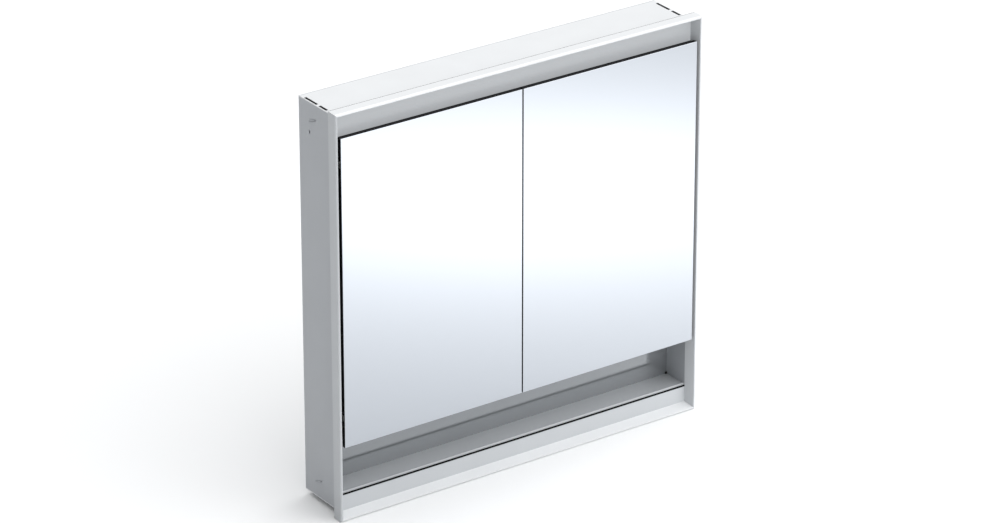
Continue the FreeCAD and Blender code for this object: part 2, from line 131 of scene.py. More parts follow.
def linear(colour: str) -> tuple[float, float, float, float]:
    """Turn an sRGB hex value into a linear colour.

    Args:
        colour: Six hex digits after a hash.

    Returns:
        Red, green, blue and an alpha of 1.
    """
    parts = [int(colour[place:place + 2], 16) / 255 for place in (1, 3, 5)]
    values = [part / 12.92 if part <= 0.04045 else ((part + 0.055) / 1.055) ** 2.4 for part in parts]
    return (*values, 1.0)


def add_node(
    tree: bpy.types.NodeTree, kind: str, links: dict | None = None, **settings: object
) -> bpy.types.Node:
    """Add a shader node with its settings and its incoming links.

    Args:
        tree: The material's node tree.
        kind: The node's type.
        links: Input name or number to the output socket that feeds it.
        settings: Attribute names to values. A name that isn't an attribute is an input, with spaces as
            underscores.

    Returns:
        The new node.
    """
    node = tree.nodes.new(kind)
    for name, value in settings.items():
        if hasattr(node, name):
            setattr(node, name, value)
        else:
            node.inputs[name.replace("_", " ")].default_value = value
    for name, socket in (links or {}).items():
        tree.links.new(socket, node.inputs[name])
    return node


@dataclass(frozen=True)
class Finish:
    """A surface: its base colour and gloss, with marks of how it was made, and a painted glow where one is
    set.

    grain_mm is the spacing of the finest marks and cloud_mm the size of the faint patches under them.
    """

    name: str
    colour: str
    metallic: float = 0.0
    roughness: float = 0.4
    roughness_spread: float = 0.0
    grain_mm: float = 1.0
    grain_depth: float = 0.0
    along: Along = Along.NONE
    cloud_mm: float = 60.0
    cloud: float = 0.0
    transmission: float = 0.0
    ior: float | None = None
    subsurface: float = 0.0
    # Strength of a painted glow in the finish's own colour: emission that stands in for light on a part
    # that is no lit lamp.
    glow: float = 0.0
    specular: float = 0.5

    def material(self) -> bpy.types.Material:
        """Return the material, made once for each finish.

        Returns:
            The material.
        """
        found = bpy.data.materials.get(self.name)
        if found:
            return found
        made = bpy.data.materials.new(self.name)
        made.use_nodes = True
        tree = made.node_tree
        tree.nodes.clear()
        place = add_node(tree, "ShaderNodeTexCoord").outputs["Object"]
        shader = add_node(tree, "ShaderNodeBsdfPrincipled", Metallic=self.metallic,
                          Transmission_Weight=self.transmission, Subsurface_Weight=self.subsurface,
                          Specular_IOR_Level=self.specular)
        # Painted glow: emission in the finish's own colour.
        if self.glow:
            shader.inputs["Emission Color"].default_value = linear(self.colour)
            shader.inputs["Emission Strength"].default_value = self.glow
        if self.ior is not None:
            shader.inputs["IOR"].default_value = self.ior
        self.paint(tree, shader, place)
        self.texture(tree, shader, place)
        add_node(tree, "ShaderNodeOutputMaterial", {"Surface": shader.outputs[0]})
        return made

    def paint(self, tree: bpy.types.NodeTree, shader: bpy.types.Node, place: bpy.types.NodeSocket) -> None:
        """Give the shader its colour, with faint patches where the finish has them.

        Args:
            tree: The material's node tree.
            shader: The surface shader.
            place: Object coordinates.
        """
        if not self.cloud:
            shader.inputs["Base Color"].default_value = linear(self.colour)
            return
        patches = add_node(tree, "ShaderNodeTexNoise", {"Vector": place},
                           Scale=1 / (self.cloud_mm * MM), Detail=3.0)
        ramp = add_node(tree, "ShaderNodeValToRGB", {"Fac": patches.outputs[0]})
        base = linear(self.colour)
        dark = [part * (1 - self.cloud) for part in base[:3]]
        for stop, position, colour in zip(ramp.color_ramp.elements, CLOUD_EDGES, ((*dark, 1.0), base)):
            stop.position = position
            stop.color = colour
        tree.links.new(ramp.outputs[0], shader.inputs["Base Color"])

    def texture(
        self, tree: bpy.types.NodeTree, shader: bpy.types.Node, place: bpy.types.NodeSocket
    ) -> None:
        """Give the shader its roughness and the fine marks of how it was made.

        Args:
            tree: The material's node tree.
            shader: The surface shader.
            place: Object coordinates.
        """
        shader.inputs["Roughness"].default_value = self.roughness
        if not self.roughness_spread and not self.grain_depth:
            return
        stretched = add_node(tree, "ShaderNodeMapping", {"Vector": place}, Scale=self.along.value)
        marks = add_node(tree, "ShaderNodeTexNoise", {"Vector": stretched.outputs[0]},
                         Scale=1 / (self.grain_mm * MM), Detail=2.0)
        if self.roughness_spread:
            low = self.roughness - self.roughness_spread
            high = self.roughness + self.roughness_spread
            spread = add_node(tree, "ShaderNodeMapRange", {"Value": marks.outputs[0]},
                              To_Min=low, To_Max=high)
            tree.links.new(spread.outputs[0], shader.inputs["Roughness"])
        if self.grain_depth:
            bump = add_node(tree, "ShaderNodeBump", {"Height": marks.outputs[0]}, Strength=self.grain_depth,
                            Distance=self.grain_mm * MM * GRAIN_SHARE)
            tree.links.new(bump.outputs[0], shader.inputs["Normal"])


# Extruded aluminium, blasted and anodised: a soft, pale, even sheen with faint drawing lines along the bar.
# One metal in two copies: the rails' copy is painted lighter as if lit from above, the stiles' copy is
# painted darker with shade.
FRAME_LEVEL_PAINTED_LIGHT = Finish("satin_anodised_aluminium_level", "#CED0D2", metallic=0.28, roughness=0.36,
                     roughness_spread=0.04, grain_mm=0.8, grain_depth=0.05, along=Along.X, cloud_mm=90.0,
                     cloud=0.02)
FRAME_UPRIGHT_PAINTED_SHADE = Finish("satin_anodised_aluminium_upright", "#B0B3B6", metallic=0.15, roughness=0.40,
                       roughness_spread=0.04, grain_mm=0.8, grain_depth=0.05, along=Along.Z,
                       cloud_mm=90.0, cloud=0.02)
# Rolled aluminium sheet as it leaves the mill: duller, with long rolling marks and faint clouding. One
# sheet in two copies: the level copy is painted lighter as if lit from above, the upright copy is painted
# darker with shade.
SHEET_LEVEL_PAINTED_LIGHT = Finish("mill_aluminium_sheet_level", "#CBCDCF", metallic=0.20, roughness=0.46,
                     roughness_spread=0.05, grain_mm=1.2, grain_depth=0.06, along=Along.X, cloud_mm=70.0,
                     cloud=0.03)
SHEET_UPRIGHT_PAINTED_SHADE = Finish("mill_aluminium_sheet_upright", "#A4A7AB", metallic=0.18, roughness=0.46,
                       roughness_spread=0.05, grain_mm=1.2, grain_depth=0.06, along=Along.Z,
                       cloud_mm=70.0, cloud=0.03)
# Aluminium sheet with a satin anodised face, for the niche.
NICHE_SHEET = Finish("satin_anodised_aluminium_sheet", "#AFB2B5", metallic=0.25, roughness=0.42,
                     roughness_spread=0.04, grain_depth=0.04, along=Along.X, cloud_mm=80.0, cloud=0.02)
# Bright-rolled aluminium for the back of the niche: grey, but sharp enough to repeat the floor's edge.
BRIGHT_SHEET = Finish("bright_rolled_aluminium", "#8F9295", metallic=0.56, roughness=0.045,
                      roughness_spread=0.01, grain_mm=1.2, along=Along.X, cloud_mm=80.0, cloud=0.02)
# Float glass with silver behind it: almost no blur. Its silver is set dimmer and bluer than real silvering,
# painted shade and a painted cool cast on everything it reflects.
SILVERED = Finish("silvered_float_glass", "#BABEC4", metallic=1.0, roughness=0.012)
# The ground rim of the mirror glass and the backing paint behind it: nearly black.
GLASS_RIM = Finish("ground_rim_and_backing_paint", "#050608", roughness=0.36, roughness_spread=0.05,
                   grain_mm=1.5, grain_depth=0.03, specular=0.08)
# Aluminium with a black anodised face: deep, satin.
BLACK_ANODISED = Finish("black_anodised_aluminium", "#06070A", roughness=0.46, roughness_spread=0.05,
                        grain_mm=0.8, grain_depth=0.05, along=Along.Z, specular=0.12)
# Clear toughened glass, faintly green.
CLEAR_GLASS = Finish("clear_toughened_glass", "#E9F4EF", roughness=0.02, transmission=1.0, ior=1.52)
# Opal acrylic with a soft sheen on top, and a painted glow in its own grey that evens out its shade, though
# no lamp behind it is lit.
OPAL_PAINTED_GLOW = Finish("opal_acrylic_painted_glow", "#67696B", roughness=0.42, roughness_spread=0.03, grain_mm=2.0,
              grain_depth=0.02, subsurface=0.05, glow=2.3)
# EPDM_AND_PAINTED_SHADE rubber: deep black and matt, with a fine skin. The same black also serves as
# painted shade on the strips under the light cover, behind the top rail, in the roof's slots and on the
# bead's rear.
EPDM_AND_PAINTED_SHADE = Finish("epdm_rubber_and_painted_shade", "#050607", roughness=0.66, roughness_spread=0.06, grain_mm=0.8,
              grain_depth=0.2, specular=0.15)
# Nickel-plated steel of the hinges and shelf pins.
NICKEL = Finish("nickel_plated_steel", "#CFCFCB", metallic=1.0, roughness=0.24, roughness_spread=0.05,
                grain_depth=0.03)
# Zinc-plated screws and corner keys: bluish and slightly cloudy.
ZINC = Finish("zinc_plated_steel", "#B9BDC2", metallic=1.0, roughness=0.36, roughness_spread=0.06,
              grain_mm=1.5, grain_depth=0.05, cloud_mm=6.0, cloud=0.08)
# Sintered magnets with a dull plating.
MAGNET = Finish("plated_magnet", "#85878B", metallic=1.0, roughness_spread=0.05, grain_depth=0.03)
# Moulded ABS in black, white and grey, with the fine sparkle of a spark-eroded mould.
BLACK_ABS = Finish("moulded_abs_black", "#16171A", roughness=0.5, roughness_spread=0.05, grain_mm=0.7,
                   grain_depth=0.12)
WHITE_ABS = Finish("moulded_abs_white", "#E3E4E2", roughness=0.48, roughness_spread=0.05, grain_mm=0.7,
                   grain_depth=0.12)
GREY_ABS = Finish("moulded_abs_grey", "#9A9EA3", roughness=0.5, roughness_spread=0.05, grain_mm=0.7,
                  grain_depth=0.12)
# White solder mask over a circuit board, and the yellow phosphor of its light chips.
SOLDER_MASK = Finish("white_solder_mask", "#EDEEE9", roughness=0.3, roughness_spread=0.03,
                     grain_depth=0.02)
PHOSPHOR = Finish("led_phosphor", "#E8D36A", roughness=0.35, roughness_spread=0.04, grain_mm=0.6,
                  grain_depth=0.05)
# The floor of the studio: matt and pale.
MATT_FLOOR = Finish("matt_white_floor", "#DADBDC", roughness=0.9, roughness_spread=0.03, grain_mm=4.0)


@dataclass
class Studio:
    """The camera, the floor and the soft light round the cabinet.

    The surround's light is ambient, plus lean for a direction, and never under least: it gives more from
    above, from the front and from the right.
    """

    azimuth: float = -35.02
    elevation: float = 24.98
    distance: float = 9.986
    lens: float = 176.3
    aim_right: float = -0.0464
    aim_up: float = 0.0141
    floor_size: float = 40.0
    ambient: float = 0.40
    least: float = 0.08
    lean: tuple[float, float, float] = (0.85, -0.65, 1.70)
    pool_place: tuple[float, float, float] = (0.80, -1.22, 0.80)
    pool_size: tuple[float, float] = (1.6, 0.4)
    pool_power: float = 19.0

    def build(self) -> None:
        """Make the camera, the floor and the light."""
        self.aim_camera()
        self.lay_floor()
        self.light()

    def aim_camera(self) -> None:
        """Make the camera, which looks at the middle of the cabinet's front."""
        around = math.radians(self.azimuth)
        above = math.radians(self.elevation)
        level = math.cos(above)
        back = Vector((math.sin(around) * level, -math.cos(around) * level, math.sin(above)))
        right = Vector((math.cos(around), math.sin(around), 0.0))
        up = back.cross(right)
        middle = Vector((0.0, FRONT_Y, (CAD_BOX[0].z + CAD_BOX[1].z) / 2))
        aim = middle + right * self.aim_right + up * self.aim_up
        data = bpy.data.cameras.new("camera")
        data.lens = self.lens
        data.clip_end = 100.0
        camera = bpy.data.objects.new("camera", data)
        bpy.context.scene.collection.objects.link(camera)
        camera.location = aim + back * self.distance
        camera.rotation_mode = "QUATERNION"
        camera.rotation_quaternion = back.to_track_quat("Z", "Y")
        bpy.context.scene.camera = camera

    def lay_floor(self) -> None:
        """Make the pale floor that the cabinet stands on."""
        deselect()
        place = Vector((0.0, 0.0, CAD_BOX[0].z - FLOOR_DROP))
        bpy.ops.mesh.primitive_plane_add(size=self.floor_size, location=place)
        floor = bpy.context.object
        floor.name = "studio_floor"
        floor.data.materials.append(MATT_FLOOR.material())

    def light(self) -> None:
        """Make the soft surround and the pool of light on the floor in front."""
        scene = bpy.context.scene
        scene.view_settings.view_transform = "Standard"
        world = bpy.data.worlds.new("surround")
        world.use_nodes = True
        tree = world.node_tree
        tree.nodes.clear()
        way = add_node(tree, "ShaderNodeTexCoord").outputs["Generated"]
        lean = add_node(tree, "ShaderNodeVectorMath", {0: way}, operation="DOT_PRODUCT")
        lean.inputs[1].default_value = self.lean
        level = add_node(tree, "ShaderNodeMath", {0: lean.outputs["Value"]}, operation="ADD")
        level.inputs[1].default_value = self.ambient
        kept = add_node(tree, "ShaderNodeMath", {0: level.outputs[0]}, operation="MAXIMUM")
        kept.inputs[1].default_value = self.least
        shade = add_node(tree, "ShaderNodeBackground", {"Strength": kept.outputs[0]})
        shade.inputs["Color"].default_value = linear("#FFFFFF")
        add_node(tree, "ShaderNodeOutputWorld", {"Surface": shade.outputs[0]})
        scene.world = world
        self.pool()

    def pool(self) -> None:
        """Light a long soft pool on the floor in front, which the doors mirror."""
        data = bpy.data.lights.new("pool_on_the_floor", "AREA")
        data.shape = "RECTANGLE"
        data.size, data.size_y = self.pool_size
        data.energy = self.pool_power
        lamp = bpy.data.objects.new("pool_on_the_floor", data)
        bpy.context.scene.collection.objects.link(lamp)
        lamp.location = self.pool_place
        lamp.rotation_euler = (0.0, 0.0, -math.radians(self.azimuth))
        lamp.visible_camera = False
        lamp.visible_glossy = False


def deselect() -> None:
    """Leave nothing selected and nothing active."""
    for each in bpy.context.scene.objects:
        each.select_set(False)
    bpy.context.view_layer.objects.active = None


def dress(finish: Finish, *nodes: str) -> None:
    """Give CAD nodes a finish.

    Args:
        finish: The finish.
        nodes: The nodes' names.
    """
    for name in nodes:
        materials = CAD_NODES[name].data.materials
        if not materials:
            materials.append(finish.material())
        for place in range(len(materials)):
            materials[place] = finish.material()
    LOG.info("%s: %s", finish.name, ", ".join(nodes))


def corners(node: str) -> tuple[Vector, Vector]:
    """Return a CAD node's lowest and highest corners.

    Args:
        node: The node's name.

    Returns:
        The two corners, lowest first.
    """
    low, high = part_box(node)
    return Vector(low), Vector(high)


class Bench:
    """One piece on the bench: a primitive, shaped with the edit-mode tools and finished with modifiers."""

    def __init__(self, piece: bpy.types.Object) -> None:
        """Take a piece on the bench.

        Args:
            piece: The piece, at the origin with its place in its mesh.
        """
        self.piece = piece

    @classmethod
    def block(cls, name: str, low: Vector, high: Vector) -> "Bench":
        """Start from a block.

        Args:
            name: The piece's name.
            low: Its lowest corner.
            high: Its highest corner.

        Returns:
            The piece on the bench.
        """
        deselect()
        bpy.ops.mesh.primitive_cube_add(size=1.0, location=(low + high) / 2, scale=high - low)
        return cls.started(name)

    @classmethod
    def disc(cls, name: str, middle: Vector, radius: float, height: float, sides: int) -> "Bench":
        """Start from a disc or a rod that stands upright.

        Args:
            name: The piece's name.
            middle: Its middle.
            radius: Its radius.
            height: Its height.
            sides: How many sides stand for the circle.

        Returns:
            The piece on the bench.
        """
        deselect()
        bpy.ops.mesh.primitive_cylinder_add(vertices=sides, radius=radius, depth=height, location=middle)
        return cls.started(name)

    @classmethod
    def started(cls, name: str) -> "Bench":
        """Name the new primitive and put its place into its mesh.

        Args:
            name: The piece's name.

        Returns:
            The piece on the bench.
        """
        piece = bpy.context.object
        piece.name = name
        piece.data.name = name
        bpy.ops.object.transform_apply(location=True, rotation=True, scale=True)
        return cls(piece)

    def take(self) -> None:
        """Make this piece the one that is selected and active."""
        deselect()
        self.piece.select_set(True)
        bpy.context.view_layer.objects.active = self.piece

    def faces(self, test: Callable[[Vector, Vector], bool]) -> "Bench":
        """Go into edit mode and select the faces that pass a test.

        Args:
            test: Says whether a face with this middle and this normal is wanted.

        Returns:
            The same piece, to go on with.
        """
        self.take()
        bpy.ops.object.mode_set(mode="EDIT")
        bpy.ops.mesh.select_mode(type="FACE")
        bpy.ops.mesh.select_all(action="DESELECT")
        mesh = bmesh.from_edit_mesh(self.piece.data)
        for face in mesh.faces:
            if test(face.calc_center_median(), face.normal):
                face.select_set(True)
        bmesh.update_edit_mesh(self.piece.data)
        return self

    def edges(self, test: Callable[[Vector, Vector], bool]) -> "Bench":
        """Go into edit mode and select the edges that pass a test.

        Args:
            test: Says whether an edge with this middle and this direction is wanted.

        Returns:
            The same piece, to go on with.
        """
        self.take()
        bpy.ops.object.mode_set(mode="EDIT")
        bpy.ops.mesh.select_mode(type="EDGE")
        bpy.ops.mesh.select_all(action="DESELECT")
        mesh = bmesh.from_edit_mesh(self.piece.data)
        for edge in mesh.edges:
            start, end = (vertex.co for vertex in edge.verts)
            if test((start + end) / 2, (end - start).normalized()):
                edge.select_set(True)
        bmesh.update_edit_mesh(self.piece.data)
        return self

    def facing(self, way: Vector) -> "Bench":
        """Select the faces that look one way.

        Args:
            way: The direction, of length 1.

        Returns:
            The same piece, to go on with.
        """
        return self.faces(lambda middle, normal: normal.dot(way) > SAME_WAY)

    def inset(self, width: float) -> "Bench":
        """Inset the selected faces.

        Args:
            width: How far their edges move in.

        Returns:
            The same piece, to go on with.
        """
        bpy.ops.mesh.inset(thickness=width)
        return self

    def extrude(self, move: Vector) -> "Bench":
        """Extrude the selected faces.

        Args:
            move: How far and which way.

        Returns:
            The same piece, to go on with.
        """
        bpy.ops.mesh.extrude_region_move(TRANSFORM_OT_translate={"value": move})
        return self

    def draw_in(self, share: float, centre: Vector) -> "Bench":
        """Scale what is selected in X and Y.

        Args:
            share: What is left of its size.
            centre: The point that stays.

        Returns:
            The same piece, to go on with.
        """
        bpy.ops.transform.resize(value=(share, share, 1.0), center_override=centre)
        return self

    def chamfer(self, width: float, steps: int = 1) -> "Bench":
        """Bevel the edges of what is selected.

        Args:
            width: The bevel's width.
            steps: How many flats it has.

        Returns:
            The same piece, to go on with.
        """
        bpy.ops.mesh.bevel(offset=width, segments=steps, affect="EDGES")
        return self

    def done(self) -> "Bench":
        """Leave edit mode."""
        bpy.ops.object.mode_set(mode="OBJECT")
        return self

    def rounded(self, width: float, steps: int = 2) -> "Bench":
        """Round every sharp edge.

        Args:
            width: The rounding's width.
            steps: How many flats it has.

        Returns:
            The same piece, to go on with.
        """
        bevel = self.piece.modifiers.new("rounding", "BEVEL")
        bevel.width = width
        bevel.segments = steps
        bevel.limit_method = "ANGLE"
        return self.applied(bevel)

    def repeated(self, count: int, step: Vector) -> "Bench":
        """Repeat the piece in a row.

        Args:
            count: How many there are.
            step: From one to the next.

        Returns:
            The same piece, to go on with.
        """
        row = self.piece.modifiers.new("row", "ARRAY")
        row.count = count
        row.use_relative_offset = False
        row.use_constant_offset = True
        row.constant_offset_displace = step
        return self.applied(row)

    def cut(self, cutter: "Bench") -> "Bench":
        """Cut another shape out of the piece, and throw that shape away.

        Args:
            cutter: The shape to cut out.

        Returns:
            The same piece, to go on with.
        """
        cutting = self.piece.modifiers.new("cut", "BOOLEAN")
        cutting.operation = "DIFFERENCE"
        cutting.solver = "EXACT"
        cutting.object = cutter.piece
        self.applied(cutting)
        bpy.data.objects.remove(cutter.piece)
        return self

    def applied(self, modifier: bpy.types.Modifier) -> "Bench":
        """Apply a modifier.

        Args:
            modifier: One of the piece's modifiers.

        Returns:
            The same piece, to go on with.
        """
        self.take()
        bpy.ops.object.modifier_apply(modifier=modifier.name)
        return self

    def aimed(self, way: Vector, place: Vector) -> "Bench":
        """Turn a piece that was made upright at the origin, and put it in its place.

        Args:
            way: Where its top looks.
            place: Where its origin goes.

        Returns:
            The same piece, to go on with.
        """
        self.take()
        self.piece.rotation_mode = "QUATERNION"
        self.piece.rotation_quaternion = way.to_track_quat("Z", "Y")
        self.piece.location = place
        bpy.ops.object.transform_apply(location=True, rotation=True, scale=True)
        return self

    def copied(self, name: str, move: Vector, turned: bool = False) -> "Bench":
        """Return a copy with its own mesh.

        Args:
            name: The copy's name.
            move: How far it is moved.
            turned: Whether it is first given half a turn about the vertical through the origin.

        Returns:
            The copy.
        """
        self.take()
        bpy.ops.object.duplicate(linked=False)
        twin = bpy.context.object
        twin.name = name
        twin.data.name = name
        twin.rotation_mode = "XYZ"
        twin.rotation_euler = (0.0, 0.0, math.pi if turned else 0.0)
        twin.location = move
        bpy.ops.object.transform_apply(location=True, rotation=True, scale=True)
        return Bench(twin)

    def join(self, others: "list[Bench]") -> "Bench":
        """Join other pieces to this one.

        Args:
            others: The pieces that become part of this one.

        Returns:
            The same piece, to go on with.
        """
        self.take()
        for other in others:
            other.piece.select_set(True)
        bpy.ops.object.join()
        return self

    def coated(self, finish: Finish, wanted: Callable[[Vector, Vector], bool] | None = None) -> "Bench":
        """Give the piece a finish, or only the faces that pass a test.

        Args:
            finish: The finish.
            wanted: Says whether a face with this middle and this normal gets it.

        Returns:
            The same piece, to go on with.
        """
        materials = self.piece.data.materials
        if wanted is None:
            materials.clear()
        materials.append(finish.material())
        for face in self.piece.data.polygons:
            if wanted is None or wanted(face.center, face.normal):
                face.material_index = len(materials) - 1
        return self

    def fitted(self, body: Body, slot: str, *nodes: str) -> "Bench":
        """Finish the piece: smooth its rounded parts, put it on its body and let it stand for its nodes.

        Args:
            body: The body that it moves with.
            slot: The record's material slot; not used.
            nodes: The CAD nodes that it replaces.

        Returns:
            The same piece, to go on with.
        """
        self.take()
        bpy.ops.object.shade_smooth_by_angle(angle=SMOOTH_BELOW)
        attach(self.piece, body.value)
        if nodes:
            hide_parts(*nodes)
        LOG.info("%s: %d faces", self.piece.name, len(self.piece.data.polygons))
        return self


LEFTWARD = Vector((-1.0, 0.0, 0.0))
RIGHTWARD = Vector((1.0, 0.0, 0.0))
FORWARD = Vector((0.0, -1.0, 0.0))
BACKWARD = Vector((0.0, 1.0, 0.0))
UPWARD = Vector((0.0, 0.0, 1.0))
DOWNWARD = Vector((0.0, 0.0, -1.0))
NOWHERE = Vector((0.0, 0.0, 0.0))


def mirror_plate(node: str, way: Vector, arris: float) -> Bench:
    """Make a mirror: silvered on the side that looks one way, with a fine ground arris round it.

    Args:
        node: The CAD node that gives its size.
        way: Where the silvered side looks.
        arris: Width of the arris.

    Returns:
        The mirror.
    """
    low, high = corners(node)
    plate = Bench.block(f"{node}_glass", low, high)
    plate.facing(way).chamfer(arris).done()
    plate.coated(GLASS_RIM)
    plate.coated(SILVERED, lambda middle, normal: normal.dot(way) > SILVERED_WAY)
    return plate


@dataclass
class Screw:
    """A pan-head screw with a cross recess, made upright with its head's underside at the origin."""

    head_radius: float = 3.0 * MM
    head_height: float = 1.3 * MM
    dome: float = 0.45 * MM
    shank_radius: float = 1.5 * MM
    slot_length: float = 3.0 * MM
    slot_width: float = 0.7 * MM
    slot_depth: float = 0.8 * MM
    dome_shares: tuple[float, float] = (0.86, 0.72)
    tip_length: float = 0.3 * MM
    tip_share: float = 0.6

    def made(self, name: str, shank: float) -> Bench:
        """Make one screw.

        Args:
            name: Its name.
            shank: Length of its shank.

        Returns:
            The screw.
        """
        straight = self.head_height - self.dome
        screw = Bench.disc(name, UPWARD * (straight / 2), self.head_radius, straight, sides=24)
        screw.facing(UPWARD)
        for share in self.dome_shares:
            screw.extrude(UPWARD * (self.dome / 2)).draw_in(share, NOWHERE)
        screw.facing(DOWNWARD).inset(self.head_radius - self.shank_radius)
        screw.extrude(DOWNWARD * (shank - self.tip_length))
        screw.extrude(DOWNWARD * self.tip_length).draw_in(self.tip_share, NOWHERE).done()
        for length, width in ((self.slot_length, self.slot_width), (self.slot_width, self.slot_length)):
            low = Vector((-length / 2, -width / 2, self.head_height - self.slot_depth))
            high = Vector((length / 2, width / 2, self.head_height + self.slot_depth))
            screw.cut(Bench.block("driver_blade", low, high))
        return screw.coated(ZINC)


@dataclass
class MirrorDoor:
    """One door: two mirrors on a black core, with its hinge leaves, screws and strike plates."""

    side: Side
    arris: float = 0.5 * MM
    screw_spacing: float = 24.0 * MM
    head_radius: float = 3.0 * MM
    head_height: float = 1.3 * MM

    def build(self) -> None:
        """Make the mirrors and the screws, and dress the rest."""
        prefix = f"door_{self.side.word}"
        body = self.side.door
        outer = mirror_plate(f"{prefix}_outer_mirror", FORWARD, self.arris)
        outer.fitted(body, "mirror_glass", f"{prefix}_outer_mirror")
        inner = mirror_plate(f"{prefix}_inner_mirror", BACKWARD, self.arris)
        inner.fitted(body, "mirror_glass", f"{prefix}_inner_mirror")
        self.screws(f"{prefix}_leaf_screws").fitted(body, "screw_steel", f"{prefix}_leaf_screws")
        dress(BLACK_ANODISED, f"{prefix}_core")
        dress(NICKEL, f"{prefix}_hinge_leaves")
        dress(ZINC, f"{prefix}_strike_plates")

    def screws(self, node: str) -> Bench:
        """Make the four screws of the hinge leaves.

        Args:
            node: The CAD node that gives their places.

        Returns:
            The four screws in one piece.
        """
        low, high = corners(node)
        seat = high.y - self.head_height
        middle_x = (low.x + high.x) / 2
        first = Screw().made(f"{node}_cross", seat - low.y)
        lowest = low.z + self.head_radius
        highest = high.z - self.head_radius
        first.aimed(BACKWARD, Vector((middle_x, seat, lowest)))
        rises = (self.screw_spacing, highest - lowest - self.screw_spacing, highest - lowest)
        copies = [first.copied(f"{node}_{number}", UPWARD * rise) for number, rise in enumerate(rises)]
        return first.join(copies)


@dataclass
class BodyHinges:
    """The hinge parts that stay on the cabinet: leaves, pins and screws."""

    head_radius: float = 3.0 * MM
    head_height: float = 1.3 * MM
    leaf_thickness: float = 2.0 * MM
    pin_rounding: float = 0.4 * MM
    pin_length: float = 40.0 * MM

    def build(self) -> None:
        """Make the pins and screws and dress the leaves."""
        self.pins().fitted(Body.CABINET, "hinge_steel", "hinge_pins")
        self.screws().fitted(Body.CABINET, "screw_steel", "hinge_body_screws")
        dress(NICKEL, "hinge_body_leaves_left", "hinge_body_leaves_right")

    def pins(self) -> Bench:
        """Make one pin with rounded ends, and its three copies.

        Returns:
            The four pins in one piece.
        """
        low, high = corners("hinge_pins")
        radius = (high.y - low.y) / 2
        middle = Vector((high.x - radius, low.y + radius, low.z + self.pin_length / 2))
        pin = Bench.disc("hinge_pins_round", middle, radius, self.pin_length, sides=24)
        pin.rounded(self.pin_rounding, 3).coated(NICKEL)
        rise = UPWARD * (high.z - low.z - self.pin_length)
        across = LEFTWARD * (2 * middle.x)
        moves = (rise, across, rise + across)
        return pin.join([pin.copied(f"hinge_pin_{number}", move) for number, move in enumerate(moves)])

    def screws(self) -> Bench:
        """Make one screw in the right-hand leaf, and its seven copies.

        Returns:
            The eight screws in one piece.
        """
        low, high = corners("hinge_body_screws")
        wall = corners("hinge_body_leaves_right")[1].x
        seat = wall - self.leaf_thickness
        place = Vector((seat, low.y + self.head_radius, low.z + self.head_radius))
        first = Screw().made("hinge_body_screws_cross", high.x - seat)
        first.aimed(LEFTWARD, place)
        back = BACKWARD * (high.y - low.y - 2 * self.head_radius)
        rise = UPWARD * (high.z - low.z - 2 * self.head_radius)
        copies = []
        for number, move in enumerate((NOWHERE, back, rise, back + rise)):
            if number:
                copies.append(first.copied(f"hinge_body_screw_right_{number}", move))
            over = move + BACKWARD * (2 * place.y)
            copies.append(first.copied(f"hinge_body_screw_left_{number}", over, turned=True))
        return first.join(copies)


@dataclass
class Catches:
    """The magnetic catches on the front of the partition."""

    rounding: float = 1.0 * MM
    clearance: float = 0.05 * MM
    magnet_inner: float = 4.0 * MM
    magnet_rounding: float = 0.3 * MM
    height: float = 24.0 * MM
    magnet_height: float = 16.0 * MM

    def build(self) -> None:
        """Make the housings with their pockets, and the magnets in them."""
        low, high = corners("catch_housings")
        magnet_low, magnet_high = corners("catch_magnets")
        rise = UPWARD * (high.z - low.z - self.height)
        housing = Bench.block("catch_housings_moulded", low, Vector((high.x, high.y, low.z + self.height)))
        housing.edges(lambda middle, way: abs(way.y) > NEAR_WAY).chamfer(self.rounding, 3).done()
        magnets = []
        for side in Side:
            ends = sorted((side.value * self.magnet_inner, side.value * magnet_high.x))
            start = Vector((ends[0], magnet_low.y, magnet_low.z))
            end = Vector((ends[1], magnet_high.y, magnet_low.z + self.magnet_height))
            spread = Vector((self.clearance, self.clearance, self.clearance))
            pocket = Bench.block("pocket", start - spread - BACKWARD * self.clearance, end + spread)
            housing.cut(pocket)
            magnet = Bench.block(f"catch_magnet_{side.word}", start, end)
            magnets.append(magnet.rounded(self.magnet_rounding))
        housing.coated(BLACK_ABS)
        housing.join([housing.copied("catch_housing_upper", rise)])
        housing.fitted(Body.CABINET, "catch_plastic", "catch_housings")
        pair = magnets[0].join(magnets[1:]).coated(MAGNET)
        pair.piece.name = "catch_magnets_plated"
        pair.join([pair.copied("catch_magnets_upper", rise)])
        pair.fitted(Body.CABINET, "magnet", "catch_magnets")


@dataclass
class LightBoard:
    """A white circuit board with a row of light chips."""

    node: str
    way: Vector
    pitch: float = 16.0 * MM
    chip_width: float = 3.5 * MM
    chip_height: float = 0.9 * MM
    rim: float = 0.5 * MM
    dip: float = 0.25 * MM
    edge: float = 0.15 * MM

    def build(self) -> None:
        """Make the board, one chip and the row of its copies."""
        low, high = corners(self.node)
        board = Bench.block(f"{self.node}_with_chips", low, high).rounded(self.edge, 1).coated(SOLDER_MASK)
        middle = (low + high) / 2
        count = int((high.x - low.x) / self.pitch)
        start_x = middle.x - self.pitch * (count - 1) / 2
        chip = Bench.block("light_chip", Vector((-self.chip_width / 2, -self.chip_width / 2, 0.0)),
                           Vector((self.chip_width / 2, self.chip_width / 2, self.chip_height)))
        chip.facing(UPWARD).inset(self.rim).extrude(DOWNWARD * self.dip).done()
        floor = self.chip_height - self.dip
        chip.coated(WHITE_ABS)
        chip.coated(PHOSPHOR, lambda spot, way: way.z > NEAR_WAY and abs(spot.z - floor) < self.dip / 2)
        forward = self.way is FORWARD
        seat = Vector((start_x, low.y if forward else middle.y, middle.z if forward else low.z))
        chip.aimed(self.way, seat).repeated(count, RIGHTWARD * self.pitch)
        board.join([chip]).fitted(Body.CABINET, "circuit_board", self.node)


